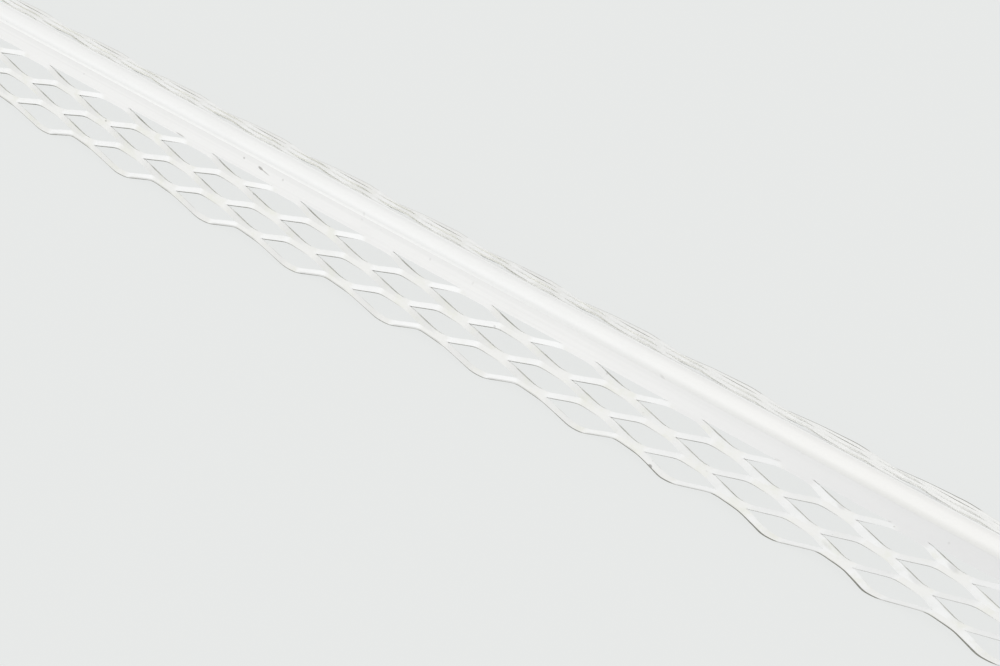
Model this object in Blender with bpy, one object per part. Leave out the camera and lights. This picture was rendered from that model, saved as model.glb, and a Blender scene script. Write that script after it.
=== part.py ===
# Corner bead for plaster and drywall: one galvanised steel strip with a rounded nose, two flat webs
# and two wings of expanded mesh, lying nose up on the wavy edges of its wings.
# Metres, +Z up, +X along the bead, origin under the middle of the nose on the floor.
import math

import bmesh
import bpy
from mathutils import Matrix, Vector

# Stock
STOCK_LENGTH = 1.2
SHEET = 0.0005
WING_SLOPE = math.radians(45.0)

# Rounded nose and the bends that join it to the webs
NOSE_RADIUS = 0.00305
NOSE_DEPTH = 0.00290
BEND_RADIUS = 0.0008
NOSE_STEPS = 7
BEND_STEPS = 3

# Expanded mesh of one wing, measured down the slope from the theoretical corner
WEB_EDGE = 0.0095
STRANDS = 5
ROW_STEP = 0.0040
ROW_LEAN = -0.0018
PITCH = 0.0353
STRAND_WIDTH = 0.00135
STRAND_RISE = 0.0003

# Bonds between neighbouring strands, and the flats of a strand over and under its bonds
BOND = 0.0106
BOND_SKEW = 0.0005
HEAD = 0.0042
HEAD_LEAN = 0.0028
FOOT = 0.0097
FOOT_SLANT = 0.00035

# Working values: pitches laid past the two ends, welding distance, turns that count as straight,
# and how far off the floor a point of a crest may be to be levelled with the rest
SPARE_PITCHES = 3
WELD = 0.00001
STRAIGHT = math.radians(0.2)
CREST_LEVEL = 0.0001

# Finish
ZINC_WHITE = (0.86, 0.86, 0.85, 1.0)
ZINC_ROUGHNESS = 0.42
ZINC_METALLIC = 0.25


def strand_stations(row):
    """One pitch of a strand as (x, v, h) along its upper and its lower side, from bond to bond.

    The left half of every opening is raised and its right half sunk, so each strand is twisted.
    The first row leaves the web flat, and the last one ends in a level crest instead of a bond.
    """
    rise, skew, slant = (STRAND_RISE, BOND_SKEW, FOOT_SLANT) if row else (0.0, 0.0, 0.0)
    bond = PITCH / 2 + ROW_LEAN
    head = bond + HEAD_LEAN
    head_v = ROW_STEP - STRAND_WIDTH
    if row < STRANDS - 1:
        bond_left = (bond - BOND / 2, ROW_STEP - BOND_SKEW, -STRAND_RISE)
        bond_right = (bond + BOND / 2, ROW_STEP, STRAND_RISE)
    else:
        bond_left = (head - HEAD / 2, ROW_STEP, 0.0)
        bond_right = (head + HEAD / 2, ROW_STEP, 0.0)
    upper = [
        (BOND / 2, 0.0, rise),
        (head - HEAD / 2, head_v, STRAND_RISE),
        (head + HEAD / 2, head_v, -STRAND_RISE),
        (PITCH - BOND / 2, -skew, -rise),
        (PITCH + BOND / 2, 0.0, rise),
    ]
    lower = [
        (FOOT / 2, STRAND_WIDTH + slant, -rise),
        bond_left,
        bond_right,
        (PITCH - FOOT / 2, STRAND_WIDTH - slant, rise),
        (PITCH + FOOT / 2, STRAND_WIDTH + slant, -rise),
    ]
    return upper, lower


def lay_strand(bm, row, pitches):
    """Lay one strand of the mesh along the stock and repeat its pitch past both ends.

    The rows are set so that the crests of the outer edge stand at whole pitches from the middle.
    """
    upper, lower = strand_stations(row)
    start = (row % 2 - pitches) * PITCH / 2 + (row - STRANDS) * ROW_LEAN - HEAD_LEAN
    across = WEB_EDGE + row * ROW_STEP
    lines = []
    for side in (upper, lower):
        lines.append([bm.verts.new((start + x, across + v, h)) for x, v, h in side])
    faces = []
    for i in range(len(upper) - 1):
        faces.append(bm.faces.new((lines[0][i], lines[0][i + 1], lines[1][i + 1], lines[1][i])))
    for step in range(1, pitches):
        copy = bmesh.ops.duplicate(bm, geom=faces)
        verts = [g for g in copy["geom"] if isinstance(g, bmesh.types.BMVert)]
        bmesh.ops.translate(bm, vec=(step * PITCH, 0.0, 0.0), verts=verts)


def edges_on(bm, test):
    return [e for e in bm.edges if all(test(v.co) for v in e.verts)]


def raise_web_and_nose(bm):
    """Extrude the slit line up the web, bend it out of the web and spin it round to the crown."""
    sill = sorted((v for v in bm.verts if abs(v.co.y - WEB_EDGE) < WELD and abs(v.co.z) < WELD),
                  key=lambda v: v.co.x)
    for a, b in zip(sill, sill[1:]):
        if bm.edges.get((a, b)) is None:
            bm.edges.new((a, b))
    line = edges_on(bm, lambda co: abs(co.y - WEB_EDGE) < WELD and abs(co.z) < WELD)

    core_v = NOSE_DEPTH * math.cos(WING_SLOPE)
    core_h = -NOSE_DEPTH * math.sin(WING_SLOPE)
    reach = NOSE_RADIUS + BEND_RADIUS
    rise = BEND_RADIUS - core_h
    bend_v = core_v + math.sqrt(reach ** 2 - rise ** 2)
    lift = math.atan2(rise, bend_v - core_v)
    bend_turn = math.pi / 2 - lift
    nose_turn = math.pi - (math.pi / 2 - WING_SLOPE) - lift

    grown = bmesh.ops.extrude_edge_only(bm, edges=line)["geom"]
    verts = [g for g in grown if isinstance(g, bmesh.types.BMVert)]
    line = [g for g in grown if isinstance(g, bmesh.types.BMEdge)]
    bmesh.ops.translate(bm, vec=(0.0, bend_v - WEB_EDGE, 0.0), verts=verts)

    spun = bmesh.ops.spin(bm, geom=line, cent=(0.0, bend_v, BEND_RADIUS), axis=(1.0, 0.0, 0.0),
                          angle=-bend_turn, steps=BEND_STEPS, use_duplicate=False)["geom_last"]
    line = [g for g in spun if isinstance(g, bmesh.types.BMEdge)]
    bmesh.ops.spin(bm, geom=line, cent=(0.0, core_v, core_h), axis=(1.0, 0.0, 0.0),
                   angle=nose_turn, steps=NOSE_STEPS, use_duplicate=False)


def cut_to_length(bm):
    """Cut both ends of the finished sheet square, and close the cut faces."""
    for side in (-1, 1):
        geom = bm.verts[:] + bm.edges[:] + bm.faces[:]
        cut = bmesh.ops.bisect_plane(bm, geom=geom, dist=WELD, plane_co=(side * STOCK_LENGTH / 2, 0.0, 0.0),
                                     plane_no=(side, 0.0, 0.0), clear_outer=True)["geom_cut"]
        rims = [g for g in cut if isinstance(g, bmesh.types.BMEdge)]
        bmesh.ops.holes_fill(bm, edges=rims, sides=0)


def stand_on_crests(bm):
    """Set the sheet on the floor, with the crests of each outer edge on one level line."""
    lowest = min(bm.verts, key=lambda v: v.co.z).co.copy()
    for v in bm.verts:
        v.co.z -= lowest.z
        if v.co.z < CREST_LEVEL:
            v.co.y = math.copysign(lowest.y, v.co.y)
            v.co.z = 0.0


def corner_bead():
    pitches = math.ceil(STOCK_LENGTH / PITCH) + SPARE_PITCHES
    pitches += (pitches + 1) % 2
    bm = bmesh.new()
    for row in range(STRANDS):
        lay_strand(bm, row, pitches)
    bmesh.ops.remove_doubles(bm, verts=bm.verts[:], dist=WELD)
    raise_web_and_nose(bm)
    bmesh.ops.dissolve_limit(bm, angle_limit=STRAIGHT, verts=bm.verts[:], edges=bm.edges[:])
    bmesh.ops.recalc_face_normals(bm, faces=bm.faces[:])

    # Lean the wing down its slope, then stand the edge of the wing on the floor
    down = Vector((0.0, -math.cos(WING_SLOPE), -math.sin(WING_SLOPE)))
    out = Vector((0.0, -math.sin(WING_SLOPE), math.cos(WING_SLOPE)))
    lean = Matrix((
        (1.0, 0.0, 0.0, 0.0),
        (0.0, down.y, out.y, 0.0),
        (0.0, down.z, out.z, 0.0),
        (0.0, 0.0, 0.0, 1.0),
    ))
    bmesh.ops.transform(bm, matrix=lean, verts=bm.verts[:])
    for v in bm.verts:
        if abs(v.co.y) < WELD:
            v.co.y = 0.0
    crown = max(bm.verts, key=lambda v: v.co.z)
    crown_face = max(crown.link_faces, key=lambda f: f.calc_center_median().z)
    crown_face.normal_update()
    if crown_face.normal.z < 0:
        bmesh.ops.reverse_faces(bm, faces=bm.faces[:])

    mesh = bpy.data.meshes.new("corner_bead")
    bm.to_mesh(mesh)
    bm.free()
    bead = bpy.data.objects.new("corner_bead", mesh)
    bpy.context.scene.collection.objects.link(bead)

    twin = bead.modifiers.new("second_wing", "MIRROR")
    twin.use_axis = (False, True, False)
    twin.use_clip = True
    twin.merge_threshold = WELD
    gauge = bead.modifiers.new("sheet_gauge", "SOLIDIFY")
    gauge.thickness = SHEET
    gauge.offset = -1.0
    gauge.use_even_offset = True

    # Take the sheet with its gauge, cut it to length and set it down
    bpy.context.view_layer.update()
    solid = bead.evaluated_get(bpy.context.evaluated_depsgraph_get())
    bm = bmesh.new()
    bm.from_mesh(solid.data)
    bead.modifiers.clear()
    stand_on_crests(bm)
    cut_to_length(bm)
    bm.to_mesh(bead.data)
    bm.free()
    return bead


def galvanised_steel():
    mat = bpy.data.materials.new("galvanised_steel")
    mat.use_nodes = True
    shader = mat.node_tree.nodes["Principled BSDF"]
    shader.inputs["Base Color"].default_value = ZINC_WHITE
    shader.inputs["Roughness"].default_value = ZINC_ROUGHNESS
    shader.inputs["Metallic"].default_value = ZINC_METALLIC
    return mat


for old in list(bpy.data.objects):
    bpy.data.objects.remove(old)

bead = corner_bead()
bead.data.materials.append(galvanised_steel())
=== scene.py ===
# Looks of a corner bead for plaster: a white zinc-coated strip with a rolled nose, two flat webs and
# two wings of expanded mesh, lying nose up on a pale floor.
# Metres, +Z up, +X along the bead, origin on the floor under the nose.
import math

import bmesh
import bpy
from mathutils import Euler, Matrix, Vector


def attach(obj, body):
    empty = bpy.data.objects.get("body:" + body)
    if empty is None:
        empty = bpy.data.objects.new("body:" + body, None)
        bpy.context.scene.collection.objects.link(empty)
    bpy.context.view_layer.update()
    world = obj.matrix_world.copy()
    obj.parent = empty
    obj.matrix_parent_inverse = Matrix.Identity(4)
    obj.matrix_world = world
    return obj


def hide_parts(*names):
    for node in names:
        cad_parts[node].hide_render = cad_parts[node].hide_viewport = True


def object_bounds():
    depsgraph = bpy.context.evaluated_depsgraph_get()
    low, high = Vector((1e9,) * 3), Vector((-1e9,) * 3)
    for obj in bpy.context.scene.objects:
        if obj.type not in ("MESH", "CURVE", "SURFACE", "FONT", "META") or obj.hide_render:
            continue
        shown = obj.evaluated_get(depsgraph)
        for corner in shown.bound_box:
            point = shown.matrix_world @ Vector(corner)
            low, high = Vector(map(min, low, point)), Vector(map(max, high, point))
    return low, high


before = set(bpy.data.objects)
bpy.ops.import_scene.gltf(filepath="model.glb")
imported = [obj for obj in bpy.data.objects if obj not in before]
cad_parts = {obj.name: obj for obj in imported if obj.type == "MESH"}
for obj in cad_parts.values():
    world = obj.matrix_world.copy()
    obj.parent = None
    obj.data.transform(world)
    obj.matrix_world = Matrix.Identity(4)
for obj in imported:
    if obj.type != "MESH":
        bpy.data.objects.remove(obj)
cad_low, cad_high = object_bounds()

# Section of the bead, measured down one wing from the theoretical corner
STOCK_LENGTH = 1.2
SHEET = 0.0005
WING_SLOPE = math.radians(45)
NOSE_RADIUS = 0.00305
NOSE_DEPTH = 0.00290
BEND_RADIUS = 0.0008
WEB_EDGE = 0.0095

# Expanded mesh: five strands a wing, each a row further down the slope
STRANDS = 5
PITCH = 0.0353
ROW_STEP = 0.0040
ROW_LEAN = -0.0018
STRAND_WIDTH = 0.00135
STRAND_RISE = 0.0003

# How far the outer side of the last strand is turned up and spread down the slope, and how many
# times as high as its bonds the foot of any other strand stands
OUTER_RISE = 0.00065
OUTER_SPREAD = OUTER_RISE / 3
FOOT_LIFT = 1.7

# Bonds between the strands, and the flats of a strand over and under its bonds
BOND = 0.0106
BOND_SKEW = 0.0005
HEAD = 0.0042
HEAD_LEAN = 0.0028
FOOT = 0.0097
FOOT_SLANT = 0.00035

# How far each corner of a strand is rounded, along the run on each side of it
SLIT_EASE = 0.0005
LEG_EASE = 0.0018
HEAD_EASE = 0.0016
FOOT_EASE = 0.0024

# Where the near wing's mesh is pulled along the bead, out of its even pitch: place along, pull at
# the web's edge and pull at the outer crests
PULL = (
    (-0.600, 0.0, 0.0),
    (-0.145, 0.0006, 0.0031),
    (-0.120, -0.0002, 0.0014),
    (-0.095, 0.0002, 0.0010),
    (-0.070, -0.0005, 0.0004),
    (-0.020, 0.0002, 0.0003),
    (0.0, 0.0003, 0.0011),
    (0.035, 0.0014, 0.0008),
    (0.070, 0.0029, 0.0004),
    (0.105, 0.0034, -0.0042),
    (0.141, 0.0035, -0.0060),
    (0.176, 0.0032, -0.0096),
    (0.200, 0.0032, -0.0108),
    (0.600, 0.0, 0.0),
)

# Fineness of the sheet, pitches laid past its two ends, welding distance and the least turn that is
# shaded as a sharp edge
CORNER_STEPS = 3
LONGEST_RUN = 0.0036
NOSE_STEPS = 14
BEND_STEPS = 4
SPARE_PITCHES = 3
WELD = 0.00001
SHARP_TURN = math.radians(38)

# The strand's map across: its lower side, and the outer side of the last strand
LOWER_SIDE = 1
OUTER_SIDE = 1.3

# The photographed view
EYE = Vector((0.2540, -0.3159, 0.4592))
EYE_AZIMUTH = math.radians(-54.56)
EYE_ELEVATION = math.radians(50.19)
EYE_ROLL = math.radians(0.09)
LENS_MM = 72
SENSOR_MM = 36


def eased(corners):
    """A path through (place, run in, run out), rounded at each corner that has a run."""
    path = [Vector(corners[0][0])]
    for before, here, after in zip(corners, corners[1:], corners[2:]):
        place, run_in, run_out = Vector(here[0]), here[1], here[2]
        if not run_in:
            path.append(place)
            continue
        start = place + (Vector(before[0]) - place).normalized() * run_in
        end = place + (Vector(after[0]) - place).normalized() * run_out
        for k in range(CORNER_STEPS + 1):
            t = k / CORNER_STEPS
            path.append(start * (1 - t) ** 2 + place * 2 * t * (1 - t) + end * t ** 2)
    return path


def repeated(path):
    """The path led on to its start in the next pitch, with long runs split."""
    path = path + [path[0] + Vector((PITCH, 0, 0))]
    out = [path[0]]
    for a, b in zip(path, path[1:]):
        pieces = math.ceil((b - a).length / LONGEST_RUN)
        out += [a.lerp(b, k / pieces) for k in range(1, pieces + 1)]
    return out


def strand_sides(row):
    """Upper and lower side of one pitch of a strand, as (along, down the slope, outwards).

    The left half of every opening is raised and its right half sunk, so each strand is twisted.
    The first row leaves the web flat, and the last one ends in a level crest instead of a bond,
    with its outer side turned up, most of all on the falling leg.
    """
    rise, skew, slant = (STRAND_RISE, BOND_SKEW, FOOT_SLANT) if row else (0, 0, 0)
    bond = PITCH / 2 + ROW_LEAN
    head = bond + HEAD_LEAN
    head_v = ROW_STEP - STRAND_WIDTH
    last = row == STRANDS - 1
    foot_rise = OUTER_RISE if last else rise * FOOT_LIFT
    leg_rise = 0 if last else foot_rise
    mid_rise = (foot_rise + leg_rise) / 2
    upper = [
        ((BOND / 2, 0, rise), 0, 0),
        ((BOND / 2 + SLIT_EASE, 0, rise), SLIT_EASE, LEG_EASE),
        ((head - HEAD / 2, head_v, -STRAND_RISE / 2 if last else STRAND_RISE), LEG_EASE, HEAD_EASE),
        ((head + HEAD / 2, head_v, -STRAND_RISE), HEAD_EASE, LEG_EASE),
        ((PITCH - BOND / 2 - SLIT_EASE, -skew, -rise), LEG_EASE, SLIT_EASE),
        ((PITCH - BOND / 2, -skew, -rise), 0, 0),
        ((PITCH + BOND / 2, 0, rise), 0, 0),
    ]
    next_bond = [
        ((bond - BOND / 2 - SLIT_EASE, ROW_STEP - BOND_SKEW, -STRAND_RISE), LEG_EASE, SLIT_EASE),
        ((bond - BOND / 2, ROW_STEP - BOND_SKEW, -STRAND_RISE), 0, 0),
        ((bond + BOND / 2, ROW_STEP, STRAND_RISE), 0, 0),
        ((bond + BOND / 2 + SLIT_EASE, ROW_STEP, STRAND_RISE), SLIT_EASE, LEG_EASE),
    ]
    crest = [
        ((head - HEAD / 2, ROW_STEP + OUTER_SPREAD, OUTER_RISE), LEG_EASE, HEAD_EASE),
        ((head + HEAD / 2, ROW_STEP + OUTER_SPREAD, OUTER_RISE / 2), HEAD_EASE, LEG_EASE),
    ]
    lower = [
        ((0, STRAND_WIDTH, mid_rise), 0, 0),
        ((FOOT / 2, STRAND_WIDTH + slant, foot_rise), FOOT_EASE, LEG_EASE),
        *(crest if last else next_bond),
        ((PITCH - FOOT / 2, STRAND_WIDTH - slant, leg_rise), LEG_EASE, FOOT_EASE),
        ((PITCH, STRAND_WIDTH, mid_rise), 0, 0),
    ]
    return repeated(eased(upper)), repeated(eased(lower))


def only(kind, geom):
    return [g for g in geom if isinstance(g, kind)]


def lay_strand(bm, row, pitches):
    """Lay one strand and repeat its pitch past both ends of the stock.

    The strand's map runs from 0 to 1 along its pitch and from 0 to 1 across it, and further at the
    outer side of the last strand.
    """
    along = (row % 2 - pitches) * PITCH / 2 + (row - STRANDS) * ROW_LEAN - HEAD_LEAN
    start = Vector((along, WEB_EDGE + row * ROW_STEP, 0))
    upper, lower = [[bm.verts.new(start + point) for point in side] for side in strand_sides(row)]
    edges = [bm.edges.new(pair) for line in (upper, lower) for pair in zip(line, line[1:])]
    strip = bmesh.ops.bridge_loops(bm, edges=edges)["faces"]
    lowest = OUTER_SIDE if row == STRANDS - 1 else LOWER_SIDE
    strand_map = bm.loops.layers.uv.verify()
    for face in strip:
        for corner in face.loops:
            across = lowest if corner.vert in lower else 0
            corner[strand_map].uv = ((corner.vert.co.x - along) / PITCH, across)
    for step in range(1, pitches):
        copy = bmesh.ops.duplicate(bm, geom=strip)["geom"]
        bmesh.ops.translate(bm, vec=(step * PITCH, 0, 0), verts=only(bmesh.types.BMVert, copy))


def roll_nose(bm):
    """Extrude the slit line up the web, bend it outwards and spin it round to the crown."""
    sill = sorted((v for v in bm.verts if abs(v.co.y - WEB_EDGE) < WELD and abs(v.co.z) < WELD),
                  key=lambda v: v.co.x)
    line = []
    for a, b in zip(sill, sill[1:]):
        line.append(bm.edges.get((a, b)) or bm.edges.new((a, b)))

    core_v = NOSE_DEPTH * math.cos(WING_SLOPE)
    core_h = -NOSE_DEPTH * math.sin(WING_SLOPE)
    reach = NOSE_RADIUS + BEND_RADIUS
    rise = BEND_RADIUS - core_h
    bend_v = core_v + math.sqrt(reach ** 2 - rise ** 2)
    lift = math.atan2(rise, bend_v - core_v)

    web = bmesh.ops.extrude_edge_only(bm, edges=line)["geom"]
    bmesh.ops.translate(bm, vec=(0, bend_v - WEB_EDGE, 0), verts=only(bmesh.types.BMVert, web))
    bend = bmesh.ops.spin(bm, geom=only(bmesh.types.BMEdge, web), cent=(0, bend_v, BEND_RADIUS),
                          axis=(1, 0, 0), angle=lift - math.pi / 2, steps=BEND_STEPS)["geom_last"]
    bmesh.ops.spin(bm, geom=only(bmesh.types.BMEdge, bend), cent=(0, core_v, core_h),
                   axis=(1, 0, 0), angle=math.pi / 2 + WING_SLOPE - lift, steps=NOSE_STEPS)


def pull_at(along, down):
    """The pull on a point of the near wing, less and less from the web's edge up to the nose."""
    for before, after in zip(PULL, PULL[1:]):
        if before[0] <= along < after[0]:
            share = (along - before[0]) / (after[0] - before[0])
            at_web = before[1] + (after[1] - before[1]) * share
            at_crest = before[2] + (after[2] - before[2]) * share
            depth = (down - WEB_EDGE) / (STRANDS * ROW_STEP)
            return at_web * min(down / WEB_EDGE, 1) + (at_crest - at_web) * max(depth, 0) ** 2
    return 0


def pull_mesh(bm):
    """Pull the near wing along the bead, out of its even pitch."""
    for v in bm.verts:
        down = -(v.co.y * math.cos(WING_SLOPE) + v.co.z * math.sin(WING_SLOPE))
        if v.co.y < 0 < down:
            v.co.x += pull_at(v.co.x, down)


def cut_square(bm):
    """Cut both ends of the finished sheet to length and close the cut faces."""
    for side in (-1, 1):
        cut = bmesh.ops.bisect_plane(bm, geom=bm.verts[:] + bm.edges[:] + bm.faces[:], dist=WELD,
                                     plane_co=(side * STOCK_LENGTH / 2, 0, 0), plane_no=(side, 0, 0),
                                     clear_outer=True)["geom_cut"]
        caps = bmesh.ops.holes_fill(bm, edges=only(bmesh.types.BMEdge, cut), sides=0)["faces"]
        for cap in caps:
            cap.material_index = 1
    bmesh.ops.recalc_face_normals(bm, faces=bm.faces[:])


def flat_wing():
    """One wing laid flat, longer than the stock, with its web and its half of the nose."""
    pitches = math.ceil(STOCK_LENGTH / PITCH) + SPARE_PITCHES
    pitches += (pitches + 1) % 2
    bm = bmesh.new()
    for row in range(STRANDS):
        lay_strand(bm, row, pitches)
    bmesh.ops.remove_doubles(bm, verts=bm.verts[:], dist=WELD)
    roll_nose(bm)
    bmesh.ops.recalc_face_normals(bm, faces=bm.faces[:])
    return bm


def lean_wing(bm):
    """Lean the wing on its slope, its crown on the middle plane and its faces outwards."""
    c, s = math.cos(WING_SLOPE), math.sin(WING_SLOPE)
    lean = Matrix(((1, 0, 0, 0), (0, -c, -s, 0), (0, -s, c, 0), (0, 0, 0, 1)))
    bmesh.ops.transform(bm, matrix=lean, verts=bm.verts[:])
    for v in bm.verts:
        if abs(v.co.y) < WELD:
            v.co.y = 0
    crown = max(bm.faces, key=lambda f: f.calc_center_median().z)
    crown.normal_update()
    if crown.normal.z < 0:
        bmesh.ops.reverse_faces(bm, faces=bm.faces[:])


def two_winged(bead):
    """The sheet with its second wing and its gauge, its slit edges in the second material."""
    twin = bead.modifiers.new("second_wing", "MIRROR")
    twin.use_axis = (False, True, False)
    twin.use_clip = True
    twin.merge_threshold = WELD
    gauge = bead.modifiers.new("sheet_gauge", "SOLIDIFY")
    gauge.thickness = SHEET
    gauge.offset = -1
    gauge.use_even_offset = True
    gauge.material_offset_rim = 1
    bpy.context.view_layer.update()
    solid = bead.evaluated_get(bpy.context.evaluated_depsgraph_get())
    bm = bmesh.new()
    bm.from_mesh(solid.data)
    bead.modifiers.clear()
    return bm


def rolled_bead():
    """The whole strip: a wing leaned on its slope, mirrored, given its gauge, pulled and cut."""
    bm = flat_wing()
    lean_wing(bm)
    mesh = bpy.data.meshes.new("rolled_bead")
    bm.to_mesh(mesh)
    bm.free()
    bead = bpy.data.objects.new("rolled_bead", mesh)
    bpy.context.scene.collection.objects.link(bead)
    bead.data.materials.append(white_zinc())
    bead.data.materials.append(sheared_edge())

    bm = two_winged(bead)
    pull_mesh(bm)
    cut_square(bm)
    drop = cad_high.z - max(v.co.z for v in bm.verts)
    bmesh.ops.translate(bm, vec=(0, 0, drop), verts=bm.verts[:])
    bm.to_mesh(bead.data)
    bm.free()
    bead.data.shade_smooth()
    bead.data.set_sharp_from_angle(angle=SHARP_TURN)
    return bead


class Value:
    """A number in a material: sums and products of it add their Math nodes."""

    def __init__(self, finish, socket):
        self.finish = finish
        self.socket = socket

    def math(self, operation, a, b):
        return self.finish.add("ShaderNodeMath", {"operation": operation}, {0: a, 1: b}).value()

    def __add__(self, other):
        return self.math("ADD", self, other)

    def __sub__(self, other):
        return self.math("SUBTRACT", self, other)

    def __mul__(self, other):
        return self.math("MULTIPLY", self, other)

    def __abs__(self):
        return self.math("ABSOLUTE", self, 0)

    __radd__ = __add__
    __rmul__ = __mul__

    def __rsub__(self, other):
        return self.math("SUBTRACT", other, self)


class Part:
    """A node just added, with its outputs as values."""

    def __init__(self, finish, node):
        self.finish = finish
        self.node = node

    def value(self, name=0):
        return Value(self.finish, self.node.outputs[name])


class Finish:
    """A material under construction."""

    def __init__(self, name):
        self.material = bpy.data.materials.new(name)
        self.material.use_nodes = True
        self.tree = self.material.node_tree
        self.tree.nodes.clear()

    def add(self, kind, settings, inputs):
        node = self.tree.nodes.new(kind)
        for name, setting in settings.items():
            setattr(node, name, setting)
        for name, given in inputs.items():
            if isinstance(given, Value):
                self.tree.links.new(given.socket, node.inputs[name])
            else:
                node.inputs[name].default_value = given
        return Part(self, node)

    def place(self):
        return self.add("ShaderNodeTexCoord", {}, {}).value("Object")

    def axes(self, vector):
        part = self.add("ShaderNodeSeparateXYZ", {}, {"Vector": vector})
        return part.value("X"), part.value("Y"), part.value("Z")

    def sheet_place(self):
        """Place along and across the bead, and along and across the strand on its map."""
        along, across = self.axes(self.place())[:2]
        pitch, width = self.axes(self.add("ShaderNodeUVMap", {}, {}).value())[:2]
        return along, across, pitch, width

    def noise(self, scale, detail, roughness=0.55):
        """Noise in Object coordinates, with a scale for each axis."""
        spread = self.add("ShaderNodeMapping", {}, {"Vector": self.place(), "Scale": scale}).value()
        return self.add("ShaderNodeTexNoise", {}, {"Vector": spread, "Scale": 1.0, "Detail": detail,
                        "Roughness": roughness}).value("Fac")

    def between(self, value, low, high):
        """0 below low, 1 above high, smooth between."""
        return self.add("ShaderNodeMapRange", {"interpolation_type": "SMOOTHSTEP"},
                        {"Value": value, "From Min": low, "From Max": high}).value()

    def band(self, value, rise, fall):
        """1 between two soft limits and 0 outside them."""
        return self.between(value, *rise) * (1 - self.between(value, *fall))

    def blend(self, share, first, second):
        return self.add("ShaderNodeMix", {"data_type": "RGBA"},
                        {"Factor": share, 6: first, 7: second}).value(2)

    def surface(self, settings):
        shader = self.add("ShaderNodeBsdfPrincipled", {}, settings)
        self.add("ShaderNodeOutputMaterial", {}, {"Surface": shader.value()})
        return self.material


# Marks on the near wing, as (along, down the slope, half length, half width, turn, darkness) in
# millimetres and radians: a scratch, dashes, specks, soft smudges of tool marks and, last, the dark
# burr at the outer edge
MARKS = (
    (-58.6, 6.4, 1.1, 0.45, 0.2, 1.0),
    (-56.6, 6.8, 2.4, 0.25, 0.2, 0.6),
    (-90.0, 9.2, 2.2, 0.3, 0.06, 0.6),
    (127.7, 9.3, 1.4, 0.25, 0.0, 0.3),
    (-65.4, 6.0, 0.5, 0.4, 0.0, 0.6),
    (-49.7, 6.3, 0.5, 0.5, 0.0, 0.4),
    (-132.5, 6.7, 0.5, 0.4, 0.0, 0.3),
    (6.8, 6.2, 0.5, 0.6, 0.0, 0.3),
    (-19.1, 4.1, 0.6, 0.4, 0.0, 0.25),
    (-19.3, 5.4, 0.6, 0.4, 0.0, 0.25),
    (22.6, 6.4, 0.5, 0.7, 0.2, 0.25),
    (133.0, 4.6, 0.6, 0.4, 0.0, 0.15),
    (178.9, 7.0, 0.5, 0.5, 0.0, 0.3),
    (87.7, 4.4, 1.2, 0.2, 0.1, 0.35),
    (-105.8, 10.7, 0.5, 0.45, 0.0, 0.9),
    (-57.0, 14.6, 0.6, 0.4, 0.2, 0.8),
    (-117.8, 16.8, 0.5, 0.4, 0.0, 0.7),
    (-33.0, 18.8, 0.6, 0.4, 0.2, 0.5),
    (72.2, 11.0, 0.5, 0.4, 0.0, 0.4),
    (148.9, 12.4, 1.8, 0.7, 0.25, 0.3),
    (182.9, 12.5, 2.4, 0.9, 0.25, 0.35),
    (175.2, 20.3, 2.6, 0.8, 0.25, 0.3),
    (150.4, 23.7, 2.4, 0.6, 0.25, 0.25),
    (95.7, 28.9, 0.8, 0.8, 0.0, 1.0),
)

# Where a mark has faded away, as the square of a distance counted in its half sizes
MARK_FADE = 1.3


def mark(coat, along, down, spot):
    """The darkness of a small slanted oval on the near wing, 0 outside it."""
    place_along, place_down, half_length, half_width, turn, darkness = spot
    a = along * 1000 - place_along
    d = down * 1000 - place_down
    u = (a * math.cos(turn) + d * math.sin(turn)) * (1 / half_length)
    w = (d * math.cos(turn) - a * math.sin(turn)) * (1 / half_width)
    return (1 - coat.between(u * u + w * w, 0, MARK_FADE)) * darkness


# Soft limits of the coat's tones and of its painted light and shade: outwards from the middle plane,
# towards the far wing, and along the bead
CROWN_TO_FLANK = (0.0014, 0.0027)
NOSE_TO_WEB = (0.0030, 0.0032)
FOOT_OF_NOSE = (0.00292, 0.00302), (0.00312, 0.00322)
WEB_SHADE_END = (0.0038, 0.0046)
WEB_TO_MESH = (0.0066, 0.0072)
FIRST_BONDS_END = (0.0076, 0.0084)
FIRST_STRAND_END = (0.0076, 0.0092)
FIRST_LINE_END = (0.0088, 0.0094)
FAR_WING = (0, 0.001)
FAR_FLANK = (0.0008, 0.0022)
RIGHT_END = (0.02, 0.17)
WEB_RIGHT_END = (0.05, 0.20)
FOOT_LINE_END = (-0.02, 0.08)

# The same along the pitch of a strand, on its map
FIRST_OPENING_MIDDLE = 0.54
FALLING_LEG = (0.12, 0.20), (0.40, 0.50)
RISING_LEG = (0.56, 0.62), (0.84, 0.90)
FREE_UNTIL = (0.06, 0.17)
FREE_FROM = (0.58, 0.66)
EDGE_SHADE_FROM = (0.21, 0.32)
EDGE_SHADE_UNTIL = (0.37, 0.46)

# Tones of the zinc coat, with painted light and shade: lit nose flanks, a glint at the nose's foot, the
# nose's shade on the web, shaded falling and lit rising legs, lit far strands and dark shade lines
NOSE_CROWN = (0.868, 0.87, 0.858, 1)
NOSE_FLANK_PAINTED_LIGHT = (0.905, 0.907, 0.90, 1)
NOSE_RIGHT = (0.885, 0.88, 0.86, 1)
NOSE_FAR_FLANK_PAINTED_LIGHT = (0.975, 0.975, 0.96, 1)
NOSE_FOOT_GLINT = (0.99, 0.99, 0.98, 1)
WEB_SHADED_BY_NOSE = (0.822, 0.822, 0.812, 1)
WEB_WHITE = (0.862, 0.861, 0.85, 1)
WEB_STREAK = (0.805, 0.804, 0.795, 1)
WEB_RIGHT = (0.768, 0.768, 0.766, 1)
STRAND_WHITE = (0.84, 0.84, 0.82, 1)
STRAND_FALLING_SHADED = (0.79, 0.79, 0.775, 1)
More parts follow.
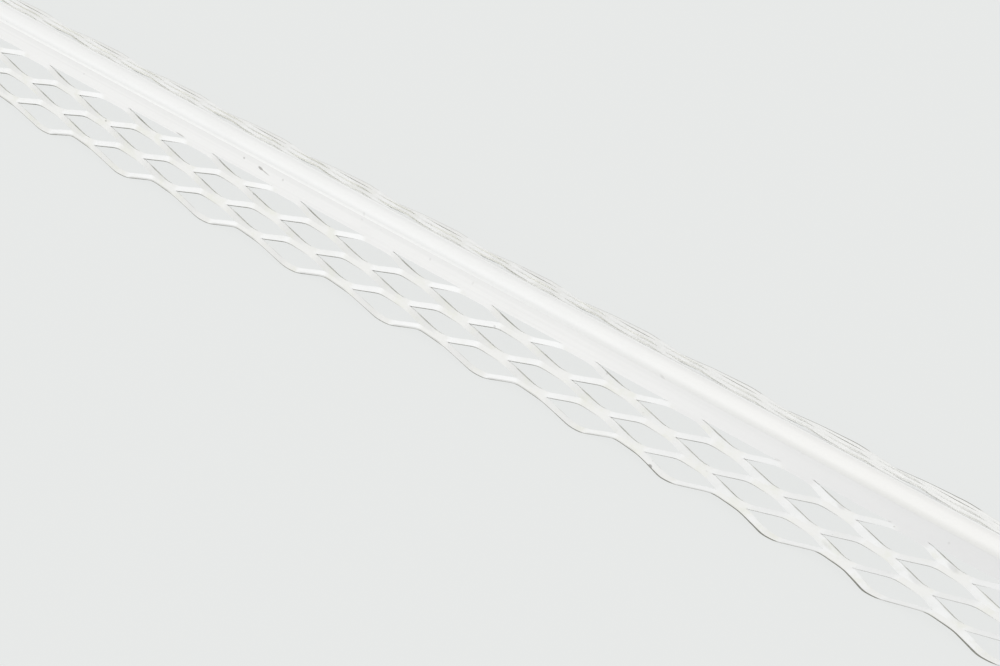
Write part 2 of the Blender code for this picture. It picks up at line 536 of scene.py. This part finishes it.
STRAND_RISING_LIT = (0.92, 0.925, 0.92, 1)
STRAND_FALLING_RIGHT_LIT = (0.88, 0.885, 0.88, 1)
STRAND_RISING_RIGHT_SHADED = (0.83, 0.835, 0.83, 1)
STRAND_FAR_LIT = (0.97, 0.97, 0.95, 1)
STAIN = (0.785, 0.79, 0.71, 1)
EDGE_SHADE_LINE = (0.20, 0.20, 0.17, 1)
CLOUD = (0.82, 0.82, 0.81, 1)
DARK_MARK = (0.22, 0.21, 0.19, 1)

# Roughness of the nose, the coat's share of metal and the depth of its relief
NOSE_ROUGHNESS = 0.26
COAT_METAL = 0.08
COAT_RELIEF = 0.0002


def nose_tone(coat, across, side, right_end):
    """The nose: painted light, brighter down its flanks and most of all on the far one, making up for
    their shade.
    """
    tone = coat.blend(coat.between(side, *CROWN_TO_FLANK), NOSE_CROWN, NOSE_FLANK_PAINTED_LIGHT)
    tone = coat.blend(right_end, tone, NOSE_RIGHT)
    return coat.blend(coat.between(across, *FAR_FLANK), tone, NOSE_FAR_FLANK_PAINTED_LIGHT)


def web_tone(coat, along, side, streaks):
    """The flat web: painted shade of the nose next to it, streaked along, and greyer at the right end.
    """
    tone = coat.blend(coat.between(side, *WEB_SHADE_END), WEB_SHADED_BY_NOSE, WEB_WHITE)
    tone = coat.blend(coat.between(streaks, 0.42, 0.72) * 0.6, tone, WEB_STREAK)
    return coat.blend(coat.between(along, *WEB_RIGHT_END), tone, WEB_RIGHT)


def strand_shade_lines(coat, side, pitch, width, rising, far_wing, right_end):
    """Painted shade: dark lines along the sides of the strands where their edges turn away from the
    light, and along the outer edge.
    """
    free_below = coat.between(pitch, *FREE_FROM) + 1 - coat.between(pitch, *FREE_UNTIL)
    under = coat.between(width, 0.85, 0.96) * free_below * coat.between(side, *FIRST_STRAND_END)
    outer = coat.between(width + right_end * 0.08 + far_wing * 0.14, 1.14, 1.24)
    outer = outer * (1 - rising * 0.7) * (right_end * 0.5 + 0.6) * (1 - far_wing * 0.4)
    over = (1 - coat.between(width, 0.03, 0.14)) * coat.between(pitch, *EDGE_SHADE_FROM)
    over = over * (1 - coat.between(pitch, *EDGE_SHADE_UNTIL)) * 0.7
    over = over * (1.1 - coat.between(side, *FIRST_LINE_END) * 0.5)
    # Painted shade along the strands' edges, weaker on the far wing and at the right end
    edge_shade = (under * 0.35 + over) * (1 - far_wing * 0.8) * (1 - right_end * 0.4)
    return coat.between(edge_shade + outer, 0, 1)


def strand_tone(coat, across, side, pitch, width, right_end):
    """The mesh: painted shade on the falling legs and painted light on the rising ones, the other way
    round at the right end.
    """
    far_wing = coat.between(across, *FAR_WING)
    falling = coat.band(pitch, *FALLING_LEG)
    rising = coat.band(pitch, *RISING_LEG)
    dirt = coat.noise((160, 220, 220), detail=4, roughness=0.65)
    # Painted shade on the falling legs and painted light on the rising ones, swapped at the right end
    tone = coat.blend(falling, STRAND_WHITE, STRAND_FALLING_SHADED)
    tone = coat.blend(rising, tone, STRAND_RISING_LIT)
    tone = coat.blend(right_end * falling, tone, STRAND_FALLING_RIGHT_LIT)
    tone = coat.blend(right_end * rising, tone, STRAND_RISING_RIGHT_SHADED)
    stain = coat.between(dirt, 0.48, 0.68) * (1 - rising * 0.7)
    tone = coat.blend(stain * 0.5, tone, STAIN)
    # Painted light: the far wing's strands are painted lighter, most of all at the right end
    tone = coat.blend(far_wing * (right_end * 0.5 + 0.5), tone, STRAND_FAR_LIT)
    lines = strand_shade_lines(coat, side, pitch, width, rising, far_wing, right_end)
    return coat.blend(lines, tone, EDGE_SHADE_LINE)


def white_zinc():
    """White zinc coat: bright glossy nose, duller webs, strands painted lit and shaded by turns."""
    coat = Finish("white_zinc")
    along, across, pitch, width = coat.sheet_place()
    down = across * -math.sqrt(2)
    side = abs(across)
    right_end = coat.between(along, *RIGHT_END)
    streaks = coat.noise((6, 900, 900), detail=3)
    clouds = coat.noise((45, 120, 120), detail=5, roughness=0.6)
    grain = coat.noise((1500, 1500, 1500), detail=2)

    # The bonds of the first strand are flat with the web and keep its tone
    off_nose = coat.between(side, *NOSE_TO_WEB)
    web_bond = (1 - coat.between(side, *FIRST_BONDS_END)) * abs(pitch * 2 - FIRST_OPENING_MIDDLE * 2)
    on_mesh = coat.between(side, *WEB_TO_MESH) * (1 - coat.between(web_bond, 0.62, 0.82))
    # A painted glint along the foot of the nose, fading out towards the right end
    foot_glint = coat.band(side, *FOOT_OF_NOSE) * (1 - coat.between(along, *FOOT_LINE_END))

    nose = nose_tone(coat, across, side, right_end)
    web = web_tone(coat, along, side, streaks)
    strand = strand_tone(coat, across, side, pitch, width, right_end)
    tone = coat.blend(off_nose, nose, web)
    tone = coat.blend(foot_glint, tone, NOSE_FOOT_GLINT)
    tone = coat.blend(on_mesh, tone, strand)
    tone = coat.blend(coat.between(clouds, 0.55, 0.75) * 0.25, tone, CLOUD)
    marks = sum(mark(coat, along, down, spot) for spot in MARKS)
    specks = coat.between(coat.noise((420, 600, 600), detail=1), 0.77, 0.83) * off_nose
    tone = coat.blend(coat.between(marks + specks * 0.4, 0, 1) * 0.7, tone, DARK_MARK)

    relief = streaks * 0.3 + grain * 0.3 + clouds * 0.5
    bump = coat.add("ShaderNodeBump", {}, {"Height": relief, "Strength": 0.2, "Distance": COAT_RELIEF})
    return coat.surface({
        "Base Color": tone,
        "Roughness": coat.between(clouds, 0.2, 0.8) * 0.14 + off_nose * 0.12 + NOSE_ROUGHNESS,
        "Metallic": COAT_METAL,
        "Normal": bump.value(),
    })


# Tones of the bare cut edge, facing up and, as painted shade, facing down, a painted glint at the tips,
# and on the far wing, painted lighter
EDGE_DULL = (0.46, 0.47, 0.42, 1)
EDGE_BRIGHT = (0.70, 0.70, 0.65, 1)
EDGE_TIP_GLINT = (0.93, 0.93, 0.92, 1)
EDGE_SHADED_DARK = (0.20, 0.20, 0.18, 1)
EDGE_SHADED = (0.38, 0.38, 0.34, 1)
FAR_EDGE_STAINED = (0.80, 0.80, 0.74, 1)
FAR_EDGE = (0.97, 0.97, 0.91, 1)
FAR_EDGE_RIGHT = (0.97, 0.97, 0.94, 1)
FAR_EDGE_LIT_BY_NOSE = (0.99, 0.99, 0.95, 1)
FAR_EDGE_OUTER = (0.55, 0.55, 0.51, 1)

# Their soft limits, along the pitch, across the bead and along it
TIP_END = (0.21, 0.30)
FIRST_EDGE_END = (0.0085, 0.0098)
LAST_EDGE_START = (0.0178, 0.0188)
EDGE_RIGHT_END = (0.02, 0.15)

# Roughness of the cut edge and its share of metal
EDGE_ROUGHNESS = 0.5
EDGE_METAL = 0.2


def far_edge_tone(edge, along, across):
    """Cut edges of the far wing: painted pale against their shade and stained in patches, painted
    lighter still next to the nose against its shadow, and greyer along the outermost strand.
    """
    patches = edge.between(edge.noise((50, 200, 200), detail=4), 0.34, 0.56)
    tone = edge.blend(patches, FAR_EDGE_STAINED, FAR_EDGE)
    tone = edge.blend(edge.between(along, *EDGE_RIGHT_END), tone, FAR_EDGE_RIGHT)
    tone = edge.blend(1 - edge.between(across, *FIRST_EDGE_END), tone, FAR_EDGE_LIT_BY_NOSE)
    return edge.blend(edge.between(across, *LAST_EDGE_START), tone, FAR_EDGE_OUTER)


def sheared_edge():
    """Grey bare metal where the sheet was slit and cut, with painted shade where it faces down and a
    painted glint at the strands' tips.
    """
    edge = Finish("sheared_edge")
    turned_up = edge.axes(edge.add("ShaderNodeNewGeometry", {}, {}).value("Normal"))[2]
    along, across, pitch = edge.sheet_place()[:3]
    burr = edge.between(edge.noise((260, 900, 900), detail=3), 0.35, 0.65)
    light = edge.blend(burr, EDGE_DULL, EDGE_BRIGHT)
    # A painted glint on the cut edge at the tip of each strand
    light = edge.blend(1 - edge.between(pitch, *TIP_END), light, EDGE_TIP_GLINT)
    light = edge.blend(edge.between(across, *FAR_WING), light, far_edge_tone(edge, along, across))
    dark = edge.blend(burr, EDGE_SHADED_DARK, EDGE_SHADED)
    # Painted shade on the cut edges that face down
    tone = edge.blend(edge.between(turned_up, -0.2, 0.2), dark, light)
    return edge.surface({"Base Color": tone, "Roughness": EDGE_ROUGHNESS, "Metallic": EDGE_METAL})


# The floor's tone, its half size, and the share of its own colour in what is seen of it
PALE_GREY = (0.804, 0.817, 0.809, 1)
FLOOR_HALF = 6
FLOOR_GLOW = 0.94


def pale_floor():
    """A plain pale floor that shows its own colour and keeps a soft shadow of the bead."""
    paint = Finish("pale_floor")
    matt = paint.add("ShaderNodeBsdfDiffuse", {}, {"Color": PALE_GREY})
    glow = paint.add("ShaderNodeEmission", {}, {"Color": PALE_GREY, "Strength": 1.0})
    path = paint.add("ShaderNodeLightPath", {}, {})
    seen = path.value("Is Camera Ray") + path.value("Is Glossy Ray") + path.value("Is Transmission Ray")
    both = paint.add("ShaderNodeMixShader", {}, {0: seen * FLOOR_GLOW, 1: matt.value(), 2: glow.value()})
    paint.add("ShaderNodeOutputMaterial", {}, {"Surface": both.value()})
    bm = bmesh.new()
    bmesh.ops.create_grid(bm, x_segments=1, y_segments=1, size=FLOOR_HALF)
    mesh = bpy.data.meshes.new("floor")
    bm.to_mesh(mesh)
    bm.free()
    mesh.materials.append(paint.material)
    floor = bpy.data.objects.new("floor", mesh)
    bpy.context.scene.collection.objects.link(floor)


def softbox(name, place, size, energy):
    """A square area lamp that looks at the middle of the bead."""
    lamp = bpy.data.lights.new(name, "AREA")
    lamp.shape = "SQUARE"
    lamp.size = size
    lamp.energy = energy
    box = bpy.data.objects.new(name, lamp)
    box.location = place
    box.rotation_euler = (-box.location).to_track_quat("-Z", "Y").to_euler()
    bpy.context.scene.collection.objects.link(box)


# Strength of the pale sky
SKY_LIGHT = 0.85


def studio_light():
    """An even pale sky, a wide lamp in front of the bead and a weaker one overhead."""
    world = bpy.data.worlds.new("studio")
    world.use_nodes = True
    back = world.node_tree.nodes["Background"]
    back.inputs["Color"].default_value = (1, 1, 1, 1)
    back.inputs["Strength"].default_value = SKY_LIGHT
    bpy.context.scene.world = world
    softbox("front_softbox", (-0.6, -1.6, 1.2), size=2.0, energy=6)
    softbox("overhead_softbox", (-0.3, 0.0, 1.8), size=2.0, energy=4)


def photo_camera():
    lens = bpy.data.cameras.new("photo_view")
    lens.lens = LENS_MM
    lens.sensor_width = SENSOR_MM
    lens.clip_start = 0.01
    camera = bpy.data.objects.new("photo_view", lens)
    aim = Euler((math.pi / 2 - EYE_ELEVATION, 0, EYE_AZIMUTH + math.pi / 2)).to_matrix().to_4x4()
    camera.matrix_world = Matrix.Translation(EYE) @ aim @ Matrix.Rotation(EYE_ROLL, 4, "Z")
    bpy.context.scene.collection.objects.link(camera)
    bpy.context.scene.camera = camera


bead = rolled_bead()
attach(bead, "root")
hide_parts("corner_bead")
pale_floor()
studio_light()
photo_camera()
bpy.context.scene.view_settings.view_transform = "Standard"
